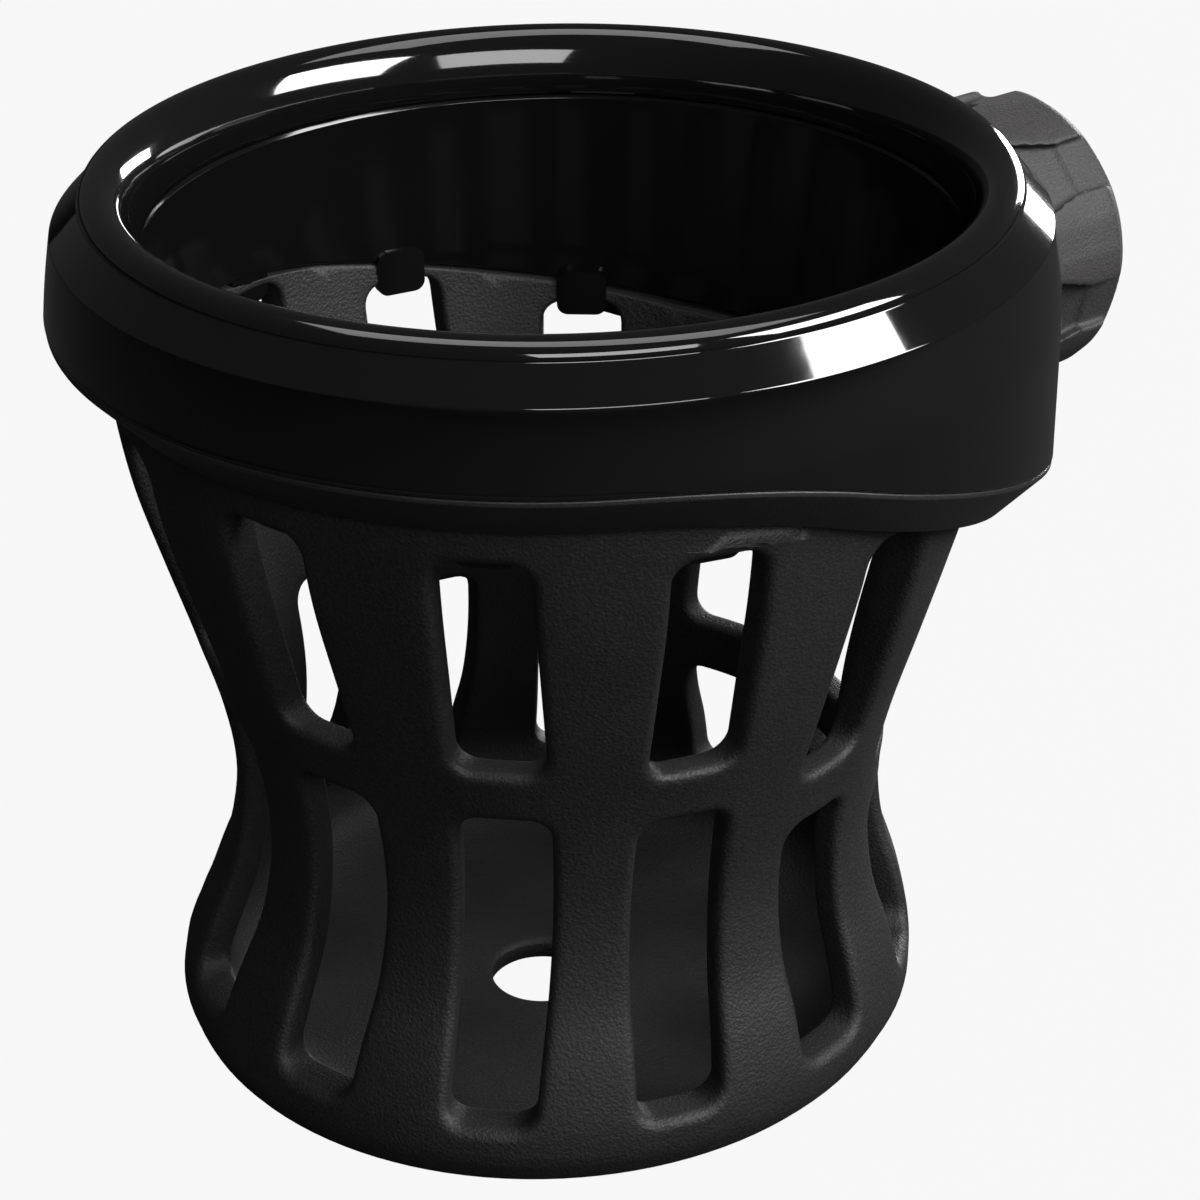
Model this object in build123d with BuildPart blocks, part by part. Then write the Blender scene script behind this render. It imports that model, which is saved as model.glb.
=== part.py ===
# Side-mounted cup holder: a die-cast ring, a moulded rubber basket and a hand knob on a stud.
# Millimetres.  +Z is up, the origin is under the basket on its axis, and +X is the mount side.
from math import atan, cos, radians, tan
import os

from build123d import *

os.makedirs("parts", exist_ok=True)

# ---- ring ----
height = 104.5                        # floor to the crest of the lip
band_r = 53.4                         # outside of the gloss band
shoulder_r, shoulder_z = 52.1, 99.6   # outer edge of the lip's chamfer
bead_foot_r, bead_foot_z = 49.0, 102.8  # where the chamfer meets the bead lip
crest_r = 46.8
skirt_inner_r = 50.2
ceiling_z = 97.4                      # underside of the lip
mouth_r = 43.0                        # clear radius through the lip

# ---- lower edge of the skirt: level away from the mount, sloping down toward it ----
edge_flat_z = 91.1
edge_slope = 0.36
bend_x = -10.0                        # where the level part turns into the slope
edge_blend = 70.0                     # radius that eases one into the other
ease = edge_blend * tan(atan(edge_slope) / 2)      # half the length of the eased part
bevel_h, bevel_in = 5.8, 4.9          # bevelled trim ring below the skirt

# ---- basket ----
slots = 12
slot_w, slot_corner = 9.6, 2.4
slot_top_gap = 4.2                    # below the level part of the trim ring
slot_slope = 0.62 * edge_slope        # the slots' tops fall less than the skirt does
slot_flat_z = edge_flat_z - bevel_h - slot_top_gap
rail_z, rail_h = 54.9, 6.6            # band between the two rows of slots
rail_slope = 0.53 * edge_slope
foot_z = 11.1                         # bottom edge of the lower slots
floor_t = 2.8
drain_r = 6.0

# ---- sleeve that lines the collar ----
sleeve_top_r, sleeve_low_r, sleeve_t = 43.1, 41.9, 1.9
sleeve_flat_z = slot_flat_z + 1.8     # its lower edge runs just above the slots' tops
lug_w, lug_drop = 6.0, 2.8

# ---- mount axis ----
axis_z = 80.1
stud_r = 3.96
head_x = 50.3                         # seat of the stud's head, inside the skirt
boss_r, boss_x = 11.8, 54.7
disc_r, disc_t, tooth_h = 10.4, 1.6, 0.5
disc_screw_y = 6.4
face_x = boss_x + tooth_h             # plane of the tooth tips, where a bracket plate lies
travel = 4.0                          # thickest bracket plate the knob opens for
knob_r, knob_end_x = 17.0, 72.4

collar_screws = 6
collar_screw_z = 93.1

side_view = Plane.XZ
mount_view = Plane(origin=(0, 0, axis_z), x_dir=(0, 1, 0), z_dir=(1, 0, 0))


def blend(slope):
    """Radius that eases the level part into this slope over the same length."""
    return ease / tan(atan(slope) / 2)


def fall(x, slope):
    """How far a contour of this slope has dropped at distance x toward the mount."""
    along = x - bend_x
    if -ease < along < ease:
        return blend(slope) - (blend(slope) ** 2 - (along + ease) ** 2) ** 0.5
    return slope * max(0.0, along)


def slot_top(angle):
    return slot_flat_z - fall(46 * cos(radians(angle)), slot_slope)


def contour(level, slope, top):
    """Side profile of what lies above (top=True) or below a contour that starts at a level."""
    far, limit = 70.0, 140.0 if top else -30.0
    with BuildSketch(side_view) as profile:
        with BuildLine():
            Polyline((-far, limit), (-far, level), (bend_x, level),
                     (far, level - fall(far, slope)), (far, limit), (-far, limit))
        make_face()
        bend = profile.vertices().sort_by_distance((bend_x, level, 0))[0]
        fillet(bend, blend(slope))
    return profile.sketch


above_edge = contour(edge_flat_z, edge_slope, True)
below_edge = contour(edge_flat_z, edge_slope, False)
below_trim = contour(edge_flat_z - bevel_h, edge_slope, False)
above_sleeve = contour(sleeve_flat_z, slot_slope, True)
below_sleeve = contour(sleeve_flat_z, slot_slope, False)
slot_angles = [360 / slots * (i + 0.5) for i in range(slots)]      # a rib faces the mount


def across(x):
    """Plane across the mount axis at distance x from the ring's axis."""
    return mount_view.offset(x)


def spoke(angle, r, z):
    """Plane facing outward at radius r, its own x running round the ring and its y up."""
    turn = Location((0, 0, 0), (0, 0, angle))
    return Plane(turn * Location(Plane(origin=(r, 0, z), x_dir=(0, 1, 0), z_dir=(1, 0, 0))))


# ------------------------------------------------------------------ ring shell
# Die-cast: a bead lip with a funnel inside it, a chamfer, a flared band and a skirt that
# deepens toward the mount, with a round boss for the stud.
with BuildPart() as ring_shell:
    with BuildSketch(side_view):
        with BuildLine():
            Polyline((mouth_r, ceiling_z), (skirt_inner_r, ceiling_z), (skirt_inner_r, 60),
                     (band_r, 60), (band_r, edge_flat_z), (shoulder_r, shoulder_z),
                     (bead_foot_r, bead_foot_z))
            ThreePointArc((bead_foot_r, bead_foot_z), (48.25, 104.0), (crest_r, height))
            Spline((crest_r, height), (44.1, 102.5), (mouth_r, ceiling_z),
                   tangents=[(-1, 0), (0, -1)])
        make_face()
    revolve(axis=Axis.Z)
    with BuildSketch(across(47.0)):
        Circle(boss_r)
    extrude(amount=boss_x - 47.0)
    with BuildSketch(Plane.XY.offset(50)):
        Circle(skirt_inner_r)
    extrude(amount=ceiling_z - 50, mode=Mode.SUBTRACT)
    extrude(below_edge, amount=80, both=True, mode=Mode.SUBTRACT)
    # flat seat for the stud's head, splined hole, disc recess and two screw holes
    with BuildSketch(across(45.0)):
        Circle(8.0)
    extrude(amount=head_x - 45.0, mode=Mode.SUBTRACT)
    with BuildSketch(across(head_x)):
        Circle(4.6)
    extrude(amount=boss_x - head_x + 1, mode=Mode.SUBTRACT)
    with BuildSketch(across(boss_x - disc_t)):
        Circle(disc_r + 0.05)
    extrude(amount=disc_t + 1, mode=Mode.SUBTRACT)
    with BuildSketch(across(50.9)):
        with Locations((disc_screw_y, 0), (-disc_screw_y, 0)):
            Circle(1.0)
    extrude(amount=4, mode=Mode.SUBTRACT)
    # blind holes for the collar screws
    for i in range(collar_screws):
        with BuildSketch(spoke(30 + 60 * i, 49.0, collar_screw_z)):
            Circle(1.05)
        extrude(amount=3.2, mode=Mode.SUBTRACT)
ring_shell.part.label = "ring_shell"

# ------------------------------------------------------------------ trim ring
# Matte ring under the skirt: a bevel that follows the skirt's contour and a spigot that
# stands up inside the skirt behind the basket's collar.
trim_bore_r, spigot_r, spigot_top = 47.8, 50.0, ceiling_z - 1.2
with BuildPart() as trim_ring:
    with BuildSketch(Plane.XY.offset(50)):
        Circle(band_r - 0.1)
    extrude(amount=spigot_top - 50)
    extrude(below_trim, amount=80, both=True, mode=Mode.SUBTRACT)
    rim = []
    for face in trim_ring.faces():
        if face.normal_at(face.center()).Z < -0.5:
            rim += [e for e in face.edges()
                    if abs(((e @ 0.5).X ** 2 + (e @ 0.5).Y ** 2) ** 0.5 - band_r + 0.1) < 0.2]
    chamfer(rim, bevel_in, bevel_h - 0.5)
    # what stands above the skirt's edge is turned down to the spigot
    with BuildSketch(Plane.XY.offset(50), mode=Mode.PRIVATE) as outside:
        Circle(band_r + 10)
        Circle(spigot_r, mode=Mode.SUBTRACT)
    lift = extrude(above_edge, amount=80, both=True, mode=Mode.PRIVATE)
    shell_room = extrude(outside.sketch, amount=60, mode=Mode.PRIVATE)
    add(lift & shell_room, mode=Mode.SUBTRACT)
    with BuildSketch(Plane.XY.offset(40)):
        Circle(trim_bore_r)
    extrude(amount=60, mode=Mode.SUBTRACT)
    with BuildSketch(across(44.0)):
        Circle(8.3)
    extrude(amount=8, mode=Mode.SUBTRACT)
    for i in range(collar_screws):
        with BuildSketch(spoke(30 + 60 * i, 46.0, collar_screw_z)):
            Circle(1.5)
        extrude(amount=6, mode=Mode.SUBTRACT)
trim_ring.part.label = "trim_ring"

# ------------------------------------------------------------------ basket
# Moulded rubber hourglass with two rows of slots.  The tops of the upper slots and the band
# between the rows both fall toward the mount, less steeply than the skirt.
with BuildPart() as basket:
    with BuildSketch(side_view):
        with BuildLine():
            Line((0, 0), (24.0, 0))
            Spline((24.0, 0), (37.2, 2.2), (42.8, 7.3), tangents=[(1, 0), (0, 1)])
            Spline((42.8, 7.3), (42.3, 11.4), (40.5, 17.5), (38.0, 24.1), (36.8, 31.5),
                   (37.0, 38.5), (38.5, 46.5), (40.9, 55.0), (43.5, 64.0), (45.8, 72.5),
                   (47.0, 79.5), (47.5, 85.5), tangents=[(0, 1), (0, 1)])
            Line((47.5, 85.5), (47.5, ceiling_z - 0.3))
            Line((47.5, ceiling_z - 0.3), (43.2, ceiling_z - 0.3))
            Line((43.2, ceiling_z - 0.3), (43.2, 85.5))
            Spline((43.2, 85.5), (42.6, 79.5), (41.4, 72.5), (39.2, 64.0), (36.9, 55.0),
                   (34.8, 46.5), (33.5, 38.5), (33.4, 31.5), (34.4, 24.1), (36.6, 17.5),
                   (38.0, 12.4), tangents=[(0, -1), (0.05, -1)])
            Spline((38.0, 12.4), (36.4, 6.9), (31.0, 3.8), (25.0, floor_t),
                   tangents=[(0.05, -1), (-1, 0)])
            Line((25.0, floor_t), (0, floor_t))
            Line((0, floor_t), (0, 0))
        make_face()
    revolve(axis=Axis.Z)
    # recess for the sleeve: its step runs just above the slots' tops
    with BuildSketch(side_view, mode=Mode.PRIVATE) as cone:
        with BuildLine():
            Polyline((0, 60), (sleeve_low_r + sleeve_t - 0.1, 60), (sleeve_low_r + sleeve_t, 66.5),
                     (sleeve_top_r + sleeve_t + 0.1, ceiling_z), (0, ceiling_z), (0, 60))
        make_face()
    recess = revolve(cone.sketch, axis=Axis.Z, mode=Mode.PRIVATE)
    lifted = extrude(above_sleeve, amount=80, both=True, mode=Mode.PRIVATE)
    add(recess & lifted, mode=Mode.SUBTRACT)
    for angle in slot_angles:
        rail = rail_z - fall(46 * cos(radians(angle)), rail_slope)
        for low_z, high_z in ((rail, slot_top(angle)), (foot_z, rail - rail_h)):
            with BuildSketch(spoke(angle, 26.0, (low_z + high_z) / 2)):
                RectangleRounded(slot_w, high_z - low_z, slot_corner)
            extrude(amount=30, mode=Mode.SUBTRACT)
    with BuildSketch(Plane.XY.offset(-1)):
        Circle(drain_r)
    extrude(amount=floor_t + 2, mode=Mode.SUBTRACT)
    # screw seats in the collar
    for i in range(collar_screws):
        with BuildSketch(spoke(30 + 60 * i, 40.0, collar_screw_z)):
            Circle(1.5)
        extrude(amount=12, mode=Mode.SUBTRACT)
        with BuildSketch(spoke(30 + 60 * i, 40.0, collar_screw_z)):
            Circle(3.3)
        extrude(amount=6.3, mode=Mode.SUBTRACT)
basket.part.label = "basket"


def inner_wall(z):
    """Radius of the basket's inner wall at height z, in the stretch below the collar."""
    return 43.2 - 0.1 * (85.5 - z) if z > 79.5 else 42.6 - 0.2 * (79.5 - z)


# ------------------------------------------------------------------ inner sleeve
# Gloss liner that covers the screws.  A lug at each slot snaps under the slot's top edge.
with BuildPart() as inner_sleeve:
    with BuildSketch(side_view):
        with BuildLine():
            Polyline((sleeve_low_r, 66.5), (sleeve_low_r + sleeve_t, 66.5),
                     (sleeve_top_r + sleeve_t, ceiling_z - 0.2), (sleeve_top_r, ceiling_z - 0.2),
                     (sleeve_low_r, 66.5))
        make_face()
    revolve(axis=Axis.Z)
    extrude(below_sleeve, amount=80, both=True, mode=Mode.SUBTRACT)
    for angle in slot_angles:
        top = slot_top(angle)
        seat = sleeve_flat_z - fall(43 * cos(radians(angle)), slot_slope) + 0.7
        wall = inner_wall(top + 0.5) - 0.15
        back = wall - 1.5
        for low_z, high_z, reach in ((seat, seat + 4.0, 42.9), (top - lug_drop, seat + 1.0, wall),
                                     (top - lug_drop, top - 0.3, wall + 2.4)):
            with BuildSketch(spoke(angle, back, (low_z + high_z) / 2)):
                Rectangle(lug_w, high_z - low_z)
            extrude(amount=reach - back)
inner_sleeve.part.label = "inner_sleeve"

# ------------------------------------------------------------------ stud
# M8 stud pressed through the boss: flat head, spline, thread and a groove for its clip.
clip_x = 68.6
stud_end_x = 70.2
with BuildPart() as stud:
    with BuildSketch(across(head_x - 1.8)):
        Circle(7.4)
    extrude(amount=1.8)
    chamfer(stud.edges().group_by(Axis.X)[0], 0.4)
    with BuildSketch(across(head_x)):
        Circle(4.5)
        with PolarLocations(4.5, 18):
            Circle(0.25, mode=Mode.SUBTRACT)
    extrude(amount=2.5)
    with BuildSketch(across(head_x + 2.5)):
        Circle(stud_r)
    extrude(amount=stud_end_x - head_x - 2.5)
    chamfer(stud.edges().group_by(Axis.X)[-1], 0.7)
    with BuildSketch(across(clip_x)):
        Circle(stud_r + 1)
        Circle(3.0, mode=Mode.SUBTRACT)
    extrude(amount=0.8, mode=Mode.SUBTRACT)
stud.part.label = "stud"

# ------------------------------------------------------------------ toothed disc and its screws
teeth = 32
with BuildPart() as tooth_disc:
    with BuildSketch(across(boss_x - disc_t)):
        Circle(disc_r)
        Circle(4.2, mode=Mode.SUBTRACT)
    extrude(amount=disc_t)
    with BuildSketch(across(boss_x)):
        with PolarLocations(9.4, teeth):
            Rectangle(1.7, 1.1)
    extrude(amount=tooth_h, taper=30)
    with BuildSketch(across(boss_x)):
        with Locations((disc_screw_y, 0), (-disc_screw_y, 0)):
            Circle(1.95)
    extrude(amount=-1.0, mode=Mode.SUBTRACT)
    with BuildSketch(across(boss_x)):
        with Locations((disc_screw_y, 0), (-disc_screw_y, 0)):
            Circle(1.1)
    extrude(amount=-3, mode=Mode.SUBTRACT)
tooth_disc.part.label = "tooth_disc"


def disc_screw(name, y):
    """Flush-head screw, drawn along the mount axis."""
    seat = Plane(origin=(boss_x - 1.0, y, axis_z), x_dir=(0, 1, 0), z_dir=(1, 0, 0))
    with BuildPart() as screw:
        with BuildSketch(seat):
            Circle(1.9)
        extrude(amount=0.95)
        with BuildSketch(seat):
            Circle(1.0)
        extrude(amount=-2.6)
        with BuildSketch(seat.offset(0.45)):
            RegularPolygon(0.75, 6)
        extrude(amount=1, mode=Mode.SUBTRACT)
    screw.part.label = name
    export_step(screw.part, "parts/" + name + ".step")


# ------------------------------------------------------------------ thrust cup
# Bears on the bracket plate and stays on the knob's nose while the knob turns behind it.
cup_face, cup_r = face_x + 0.03, 12.6
with BuildPart() as thrust_cup:
    with BuildSketch(across(cup_face)):
        Circle(cup_r)
        Circle(cup_r - 3.0, mode=Mode.SUBTRACT)
    extrude(amount=1.6)
    with BuildSketch(across(cup_face + 1.6)):
        Circle(cup_r)
        Circle(7.56, mode=Mode.SUBTRACT)
    extrude(amount=1.2)
    chamfer(thrust_cup.edges().filter_by(GeomType.CIRCLE).filter_by(lambda e: e.radius > 12)
            .group_by(Axis.X)[0], 0.3)
thrust_cup.part.label = "thrust_cup"

# ------------------------------------------------------------------ knob hub
# Rigid hub: a nose through the thrust cup, a shoulder behind the spring, ribs that lock the
# grip, a seat for the brass insert and a chamber for the clip on the end of the stud.
web_x = cup_face + 2.8
shoulder_x = web_x + 1.0
insert_x, insert_len = 58.4, 5.8
with BuildPart() as knob_hub:
    with BuildSketch(across(face_x + 0.5)):
        Circle(7.5)
    extrude(amount=shoulder_x - face_x - 0.5)
    with BuildSketch(across(shoulder_x)):
        Circle(11.4)
        with PolarLocations(11.6, 6):
            Rectangle(1.6, 3.0)
    extrude(amount=knob_end_x - 1.9 - shoulder_x)
    with BuildSketch(across(face_x)):
        Circle(4.4)
    extrude(amount=30, mode=Mode.SUBTRACT)
    with BuildSketch(across(insert_x)):
        Circle(5.5)
    extrude(amount=30, mode=Mode.SUBTRACT)
    with BuildSketch(across(insert_x + insert_len)):
        Circle(7.0)
    extrude(amount=30, mode=Mode.SUBTRACT)
    with BuildSketch(across(face_x + 0.65)):
        Circle(8.5)
        Circle(6.4, mode=Mode.SUBTRACT)
    extrude(amount=0.84, mode=Mode.SUBTRACT)
knob_hub.part.label = "knob_hub"

with BuildPart() as nose_clip:
    with BuildSketch(across(face_x + 0.67)):
        Circle(9.0)
        Circle(6.44, mode=Mode.SUBTRACT)
        with Locations((0, -8)):
            Rectangle(3.2, 6, mode=Mode.SUBTRACT)
    extrude(amount=0.8)
nose_clip.part.label = "nose_clip"

with BuildPart() as disc_spring:
    with BuildSketch(side_view):
        with BuildLine():
            Polyline((web_x + 0.04, axis_z + 11.2), (web_x + 0.44, axis_z + 11.2),
                     (shoulder_x - 0.04, axis_z + 7.7), (shoulder_x - 0.44, axis_z + 7.7),
                     (web_x + 0.04, axis_z + 11.2))
        make_face()
    revolve(axis=Axis((0, 0, axis_z), (1, 0, 0)))
disc_spring.part.label = "disc_spring"

with BuildPart() as knob_insert:
    with BuildSketch(across(insert_x + 0.02)):
        Circle(5.46)
        with PolarLocations(5.46, 20):
            Circle(0.28, mode=Mode.SUBTRACT)
        Circle(4.0, mode=Mode.SUBTRACT)
    extrude(amount=insert_len - 0.04)
knob_insert.part.label = "knob_insert"

# ------------------------------------------------------------------ knob grip
# Soft grip over the hub: six lobes, with a tapering flute between them that ends in a flat.
grip_in_x = face_x + 0.45
flute_len, flute_turn = 10.4, 45


def grip_plane(x, turn):
    """Plane across the knob at x, turned about its axis so +y points along one flute."""
    return Plane(Location((0, 0, axis_z), (1, 0, 0), turn) * Location(
        Plane(origin=(x, 0, 0), x_dir=(0, 1, 0), z_dir=(1, 0, 0))))


with BuildPart() as knob_grip:
    with BuildSketch(across(grip_in_x)):
        RegularPolygon(knob_r + 0.5, 12, rotation=15 + flute_turn)
    extrude(amount=knob_end_x - 0.3 - grip_in_x)
    # turned envelope: a long chamfer at the outer end and a short one at the plate side
    with BuildSketch(side_view):
        with BuildLine():
            Polyline((grip_in_x, axis_z), (grip_in_x, axis_z + knob_r - 0.9),
                     (grip_in_x + 0.9, axis_z + knob_r), (knob_end_x - 3.1, axis_z + knob_r),
                     (knob_end_x - 1.1, axis_z + knob_r - 1.3),
                     (knob_end_x - 0.3, axis_z + knob_r - 2.9), (knob_end_x - 0.3, axis_z),
                     (grip_in_x, axis_z))
        make_face()
    revolve(axis=Axis((0, 0, axis_z), (1, 0, 0)), mode=Mode.INTERSECT)
    for i in range(6):
        # wide at the plate side, narrowing to the small flat near the end face
        with BuildSketch(grip_plane(grip_in_x - 0.5, flute_turn + 60 * i)):
            with Locations((0, knob_r)):
                Trapezoid(13.4, 5.6, 118, rotation=180)
        with BuildSketch(grip_plane(grip_in_x + flute_len, flute_turn + 60 * i)):
            with Locations((0, knob_r)):
                Trapezoid(7.2, 3.6, 118, rotation=180)
        loft(mode=Mode.SUBTRACT)
        with BuildSketch(grip_plane(grip_in_x + flute_len - 0.2, flute_turn + 60 * i)):
            with Locations((0, knob_r + 0.4)):
                Trapezoid(7.2, 3.6, 118, rotation=180)
        extrude(amount=9, mode=Mode.SUBTRACT)
    with BuildSketch(across(grip_in_x - 1)):
        Circle(cup_r + 0.5)
    extrude(amount=shoulder_x + 0.3 - grip_in_x + 1, mode=Mode.SUBTRACT)
    with BuildSketch(across(shoulder_x)):
        Circle(11.4)
        with PolarLocations(11.6, 6):
            Rectangle(1.6, 3.0)
    extrude(amount=30, mode=Mode.SUBTRACT)
knob_grip.part.label = "knob_grip"

with BuildPart() as knob_cap:
    with BuildSketch(across(knob_end_x - 1.8)):
        Circle(11.3)
    extrude(amount=1.6)
    fillet(knob_cap.edges().group_by(Axis.X)[-1], 0.6)
    with BuildSketch(across(knob_end_x - 1.8)):
        Circle(6.9)
        Circle(5.9, mode=Mode.SUBTRACT)
    extrude(amount=-2.2)
knob_cap.part.label = "knob_cap"

with BuildPart() as stud_clip:
    with BuildSketch(across(clip_x + 0.02)):
        Circle(5.6)
        Circle(3.02, mode=Mode.SUBTRACT)
        with Locations((0, -4.6)):
            Rectangle(2.6, 5, mode=Mode.SUBTRACT)
    extrude(amount=0.76)
stud_clip.part.label = "stud_clip"


def collar_screw(name, angle):
    """Pan-head screw that ties the basket's collar to the ring from inside."""
    with BuildPart() as screw:
        with BuildSketch(spoke(angle, 45.1, collar_screw_z)):
            Circle(2.9)
        extrude(amount=1.15)
        with BuildSketch(spoke(angle, 46.25, collar_screw_z)):
            Circle(1.05)
        extrude(amount=5.6)
        with BuildSketch(spoke(angle, 45.1, collar_screw_z)):
            RegularPolygon(1.1, 6)
        extrude(amount=0.7, mode=Mode.SUBTRACT)
    screw.part.label = name
    export_step(screw.part, "parts/" + name + ".step")


# ------------------------------------------------------------------ output
disc_screw("disc_screw_1", disc_screw_y)
disc_screw("disc_screw_2", -disc_screw_y)
for i in range(collar_screws):
    collar_screw("collar_screw_" + str(i + 1), 30 + 60 * i)

export_step(ring_shell.part, "parts/ring_shell.step")
export_step(trim_ring.part, "parts/trim_ring.step")
export_step(basket.part, "parts/basket.step")
export_step(inner_sleeve.part, "parts/inner_sleeve.step")
export_step(stud.part, "parts/stud.step")
export_step(tooth_disc.part, "parts/tooth_disc.step")
export_step(thrust_cup.part, "parts/thrust_cup.step")
export_step(disc_spring.part, "parts/disc_spring.step")
export_step(nose_clip.part, "parts/nose_clip.step")
export_step(knob_hub.part, "parts/knob_hub.step")
export_step(knob_insert.part, "parts/knob_insert.step")
export_step(knob_grip.part, "parts/knob_grip.step")
export_step(knob_cap.part, "parts/knob_cap.step")
export_step(stud_clip.part, "parts/stud_clip.step")
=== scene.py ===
import math

import bmesh
import bpy
import numpy as np
from mathutils import Matrix, Vector


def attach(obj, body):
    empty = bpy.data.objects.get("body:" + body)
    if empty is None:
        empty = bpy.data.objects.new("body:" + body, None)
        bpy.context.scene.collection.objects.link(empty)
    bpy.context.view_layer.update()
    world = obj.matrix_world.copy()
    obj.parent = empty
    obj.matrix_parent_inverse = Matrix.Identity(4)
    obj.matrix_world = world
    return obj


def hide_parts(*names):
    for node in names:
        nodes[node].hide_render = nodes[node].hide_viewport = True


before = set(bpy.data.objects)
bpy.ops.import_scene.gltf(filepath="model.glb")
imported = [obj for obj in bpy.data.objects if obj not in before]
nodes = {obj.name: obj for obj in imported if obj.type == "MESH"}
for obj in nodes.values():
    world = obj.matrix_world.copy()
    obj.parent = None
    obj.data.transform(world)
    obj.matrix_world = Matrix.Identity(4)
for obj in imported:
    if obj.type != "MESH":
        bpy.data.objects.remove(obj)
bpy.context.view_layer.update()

# ---------------------------------------------------------------- ring shell
# The die-cast ring: a bead lip with a funnel inside it, a chamfer, a flared band and a skirt
# that is level on the far side and comes down toward the mount. Piano-black gloss finish.
# One closed section is carried round the ring, and only its lower edge changes height.
band_r, shoulder_r, shoulder_z = 53.4, 52.1, 99.6
skirt_inner_r, ceiling_z, mouth_r = 50.2, 97.4, 43.0
crest_r, crest_z, bead_foot = 46.8, 104.5, (49.0, 102.8)
edge_flat_z, edge_slope, bend_x, edge_blend = 91.0, 0.334, -15.0, 75.0
ease = edge_blend * math.tan(math.atan(edge_slope) / 2)


def blend(slope):
    """Radius that eases the level part of a contour into this slope."""
    return ease / math.tan(math.atan(slope) / 2)


def fall(x, slope):
    """How far a contour of this slope has dropped at distance x toward the mount."""
    along = x - bend_x
    if -ease < along < ease:
        return blend(slope) - math.sqrt(blend(slope) ** 2 - (along + ease) ** 2)
    return slope * max(0.0, along)


def edge_z(x):
    """Height of the skirt's lower edge, in millimetres like every size in this file."""
    return edge_flat_z - fall(x, edge_slope)


def rounded(corners, steps=4):
    """Section with its corners rounded: each corner is (r, z) or (r, z, radius)."""
    out, n = [], len(corners)
    for i, corner in enumerate(corners):
        p = np.array(corner[:2], float)
        radius = corner[2] if len(corner) > 2 else 0.0
        if not radius:
            out.append(tuple(p))
            continue
        a = np.array(corners[i - 1][:2], float) - p
        b = np.array(corners[(i + 1) % n][:2], float) - p
        a /= np.linalg.norm(a)
        b /= np.linalg.norm(b)
        half = math.acos(max(-1.0, min(1.0, float(a @ b)))) / 2
        reach = radius / math.tan(half)
        mid = (a + b) / np.linalg.norm(a + b)
        centre = p + mid * radius / math.sin(half)
        start, end = p + a * reach - centre, p + b * reach - centre
        turn = math.atan2(start[0] * end[1] - start[1] * end[0], float(start @ end))
        for k in range(steps + 1):
            t = turn * k / steps
            c, s = math.cos(t), math.sin(t)
            out.append((centre[0] + c * start[0] - s * start[1],
                        centre[1] + s * start[0] + c * start[1]))
    return out


def new_piece(name, verts, faces, body, replaced=(), slot=None):
    """Mesh object from points in millimetres, welded, faces outward, riding on a body."""
    mesh = bpy.data.meshes.new(name)
    mesh.from_pydata([tuple(0.001 * c for c in v) for v in verts], [], faces)
    work = bmesh.new()
    work.from_mesh(mesh)
    bmesh.ops.remove_doubles(work, verts=work.verts, dist=2e-6)
    bmesh.ops.recalc_face_normals(work, faces=work.faces)
    work.to_mesh(mesh)
    work.free()
    mesh.shade_smooth()
    piece = bpy.data.objects.new(name, mesh)
    bpy.context.scene.collection.objects.link(piece)
    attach(piece, body)
    if replaced:
        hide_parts(*replaced)
    return piece


def carried_round(section_at, columns):
    """Points and faces of a closed section carried round the ring's axis."""
    verts, faces, count = [], [], 0
    for i in range(columns):
        angle = 2 * math.pi * i / columns
        section = section_at(angle)
        count = len(section)
        verts += [(r * math.cos(angle), r * math.sin(angle), z) for r, z in section]
    for i in range(columns):
        a, b = i * count, (i + 1) % columns * count
        for j in range(count):
            k = (j + 1) % count
            faces.append((a + j, b + j, b + k, a + k))
    return verts, faces


def shell_section(angle):
    """Section of the ring at one angle, from the mouth over the lip and down the band."""
    low = edge_z(band_r * math.cos(angle))
    section = []
    for k in range(13):
        t = math.pi / 2 * k / 12
        section.append((crest_r - (crest_r - mouth_r) * math.cos(t),
                        ceiling_z + (crest_z - ceiling_z) * math.sin(t)))
    for k in range(1, 12):
        t = math.pi / 2 * k / 12
        section.append((crest_r + (bead_foot[0] - crest_r) * math.sin(t),
                        bead_foot[1] + (crest_z - bead_foot[1]) * math.cos(t)))
    crease = rounded([(bead_foot[0] + 0.02, bead_foot[1] + 0.8), (*bead_foot, 0.3),
                      (shoulder_r, shoulder_z, 0.35),
                      (shoulder_r + 0.25, shoulder_z - 1.8)])[1:-1]
    section += crease
    top = shoulder_z - 0.9
    for k in range(14):
        z = top + (low + 0.35 - top) * k / 13
        flare = min(1.0, (shoulder_z - z) / (shoulder_z - edge_flat_z))
        section.append((shoulder_r + (band_r - shoulder_r) * (1 - (1 - flare) ** 1.25), z))
    section += rounded([(band_r, low + 1.5), (band_r, low, 0.3), (skirt_inner_r, low, 0.3),
                        (skirt_inner_r, ceiling_z), (mouth_r + 0.2, ceiling_z)])[1:]
    return section


ring = new_piece("ring_shell_gloss", *carried_round(shell_section, 360), "holder",
                 ["ring_shell"], "ring")


def material(name):
    """New material: returns it, its node tree and its Principled shader."""
    made = bpy.data.materials.new(name)
    made.use_nodes = True
    return made, made.node_tree, made.node_tree.nodes["Principled BSDF"]


def soft_noise(tree, scale, detail=2.0, rough=0.5):
    """Noise over the object's own coordinates."""
    where = tree.nodes.new("ShaderNodeTexCoord")
    noise = tree.nodes.new("ShaderNodeTexNoise")
    noise.inputs["Scale"].default_value = scale
    noise.inputs["Detail"].default_value = detail
    noise.inputs["Roughness"].default_value = rough
    tree.links.new(where.outputs["Object"], noise.inputs["Vector"])
    return noise


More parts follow.
